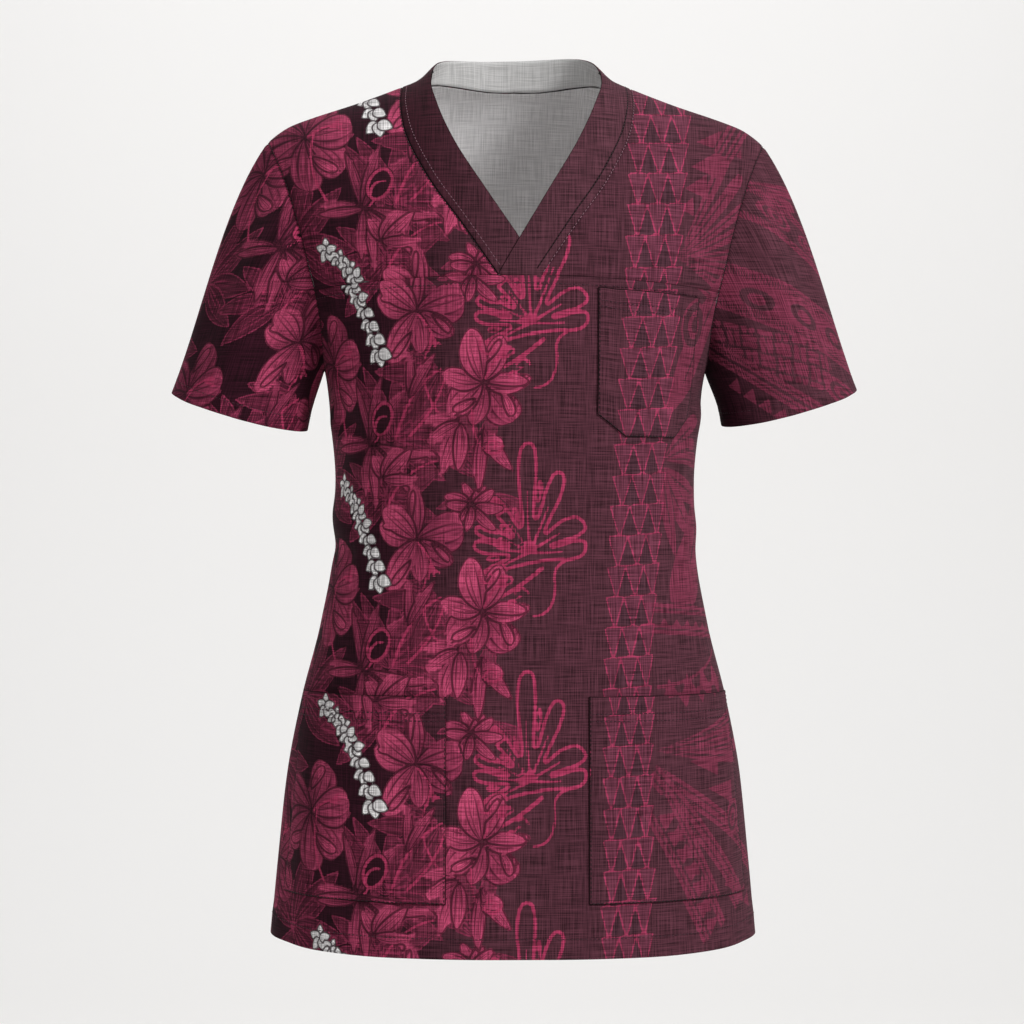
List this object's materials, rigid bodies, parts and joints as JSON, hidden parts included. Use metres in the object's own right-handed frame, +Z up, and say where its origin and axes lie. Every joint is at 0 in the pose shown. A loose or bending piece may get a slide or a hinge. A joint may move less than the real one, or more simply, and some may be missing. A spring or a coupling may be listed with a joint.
{
  "type": "scrub top",
  "caption": "Short-sleeved V-neck scrub top, filled out as if worn, with a chest pocket, patch pockets at the hip and a banded neck.",
  "frame": {"origin": "midway between the two neck-shoulder points, in the plane of the shoulder and side seams, where a wearer or hanger holds the top up", "axes": "+Z up along the body, +X to the wearer's left, -Y out of the front of the top"},
  "size_m": [0.537, 0.2542, 0.6975],
  "materials": {
    "printed_cloth": "matt slub-woven cloth, maroon ground with a printed floral and geometric pattern",
    "plain_cloth": "matt slub-woven plain maroon cloth"
  },
  "bodies": {
    "root": {"back_body": "printed_cloth", "chest_pocket": "printed_cloth", "front_body": "printed_cloth", "front_yoke_left": "printed_cloth", "front_yoke_right": "printed_cloth", "neckband_back": "plain_cloth", "neckband_left": "plain_cloth", "neckband_right": "plain_cloth", "pocket_left": "printed_cloth", "pocket_right": "printed_cloth", "sleeve_left": "printed_cloth", "sleeve_right": "printed_cloth"}
  },
  "joints": []
}
